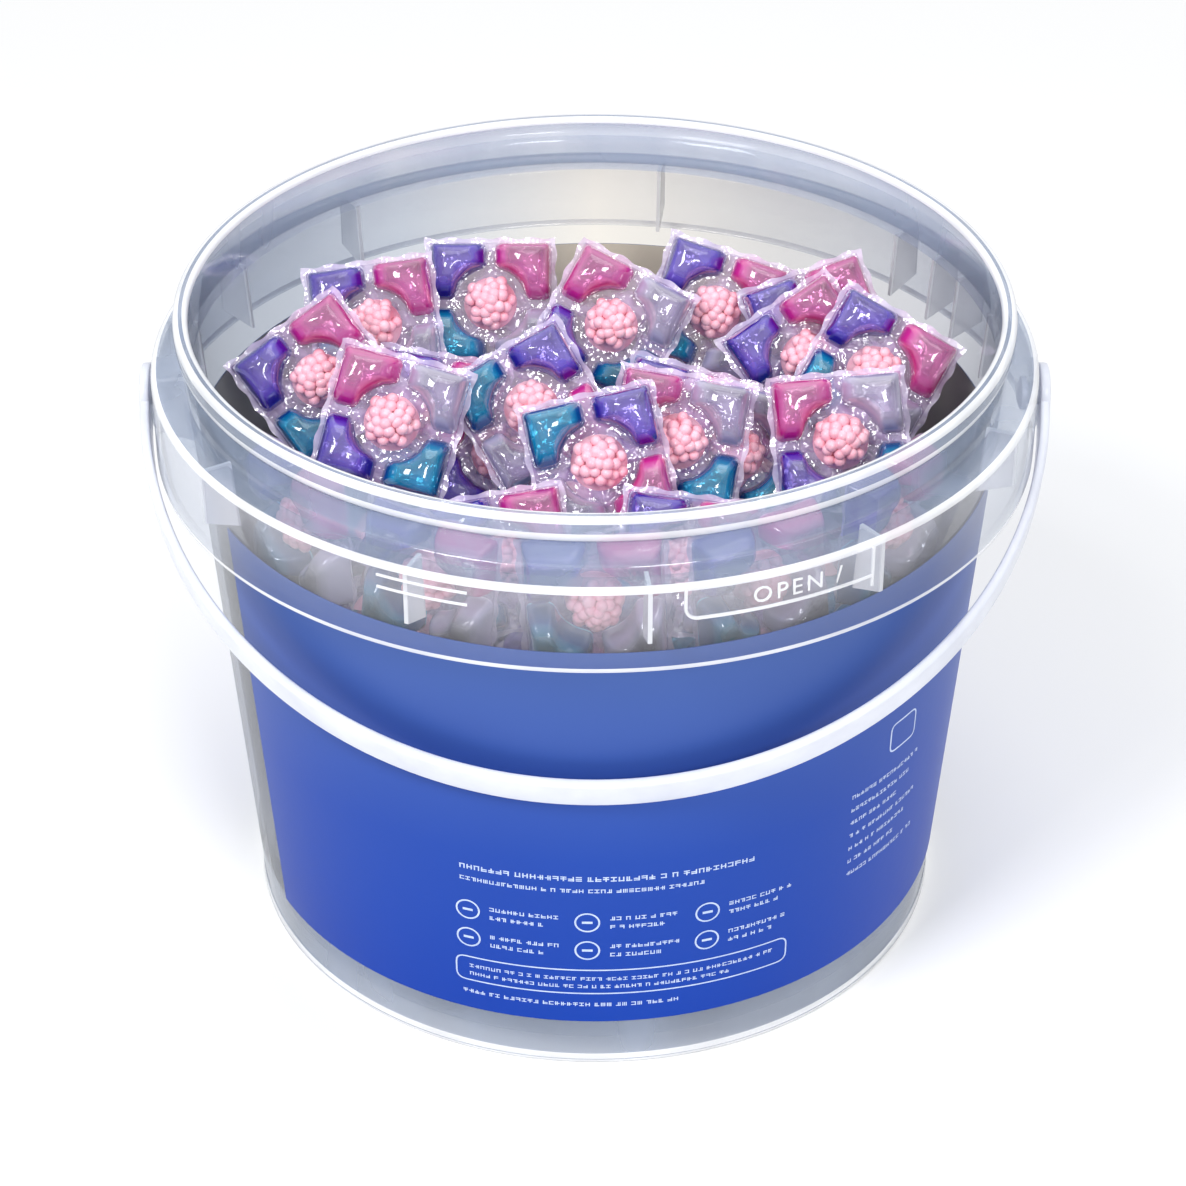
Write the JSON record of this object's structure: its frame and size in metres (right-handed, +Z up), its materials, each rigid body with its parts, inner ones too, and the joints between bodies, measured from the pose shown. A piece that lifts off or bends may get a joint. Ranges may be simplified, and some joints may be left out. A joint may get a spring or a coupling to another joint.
{
  "type": "laundry pod tub",
  "caption": "Open clear round tub with a ribbed skirt below the rim, a swinging white strap handle, a blue wrap-round film label and a heap of square laundry pods inside.",
  "frame": {"origin": "middle of the footprint, on the plane the tub stands on", "axes": "+Z up, +X along the handle's pivot axis to the right, front of the tub towards -Y"},
  "size_m": [0.2436, 0.236, 0.183],
  "materials": {
    "clear_plastic": "clear, smooth moulded",
    "white_plastic": "satin moulded",
    "blue_film": "smooth printed film",
    "pod_film": "soft wet-looking film"
  },
  "bodies": {
    "tub_body": {"heap_pod_01": "pod_film", "heap_pod_02": "pod_film", "heap_pod_03": "pod_film", "heap_pod_04": "pod_film", "heap_pod_05": "pod_film", "heap_pod_06": "pod_film", "heap_pod_07": "pod_film", "heap_pod_08": "pod_film", "heap_pod_09": "pod_film", "heap_pod_10": "pod_film", "heap_pod_11": "pod_film", "heap_pod_12": "pod_film", "heap_pod_13": "pod_film", "heap_pod_14": "pod_film", "heap_pod_15": "pod_film", "heap_pod_16": "pod_film", "heap_pod_17": "pod_film", "heap_pod_18": "pod_film", "heap_pod_19": "pod_film", "label": "blue_film", "pod_layer_1": "pod_film", "pod_layer_2": "pod_film", "pod_layer_3": "pod_film", "pod_layer_4": "pod_film", "pod_layer_5": "pod_film", "pod_layer_6": "pod_film", "pod_layer_7": "pod_film", "pod_layer_8": "pod_film", "pod_layer_9": "pod_film", "tub": "clear_plastic", "wall_pod_01": "pod_film", "wall_pod_02": "pod_film", "wall_pod_03": "pod_film", "wall_pod_04": "pod_film", "wall_pod_05": "pod_film"},
    "handle_body": {"handle": "white_plastic"}
  },
  "joints": [
    {"name": "handle_swing", "type": "hinge", "parent": "tub_body", "child": "handle_body", "pos_m": [0, 0, 0.153], "axis": [-1, 0, 0], "range_deg": [0, 232]}
  ]
}
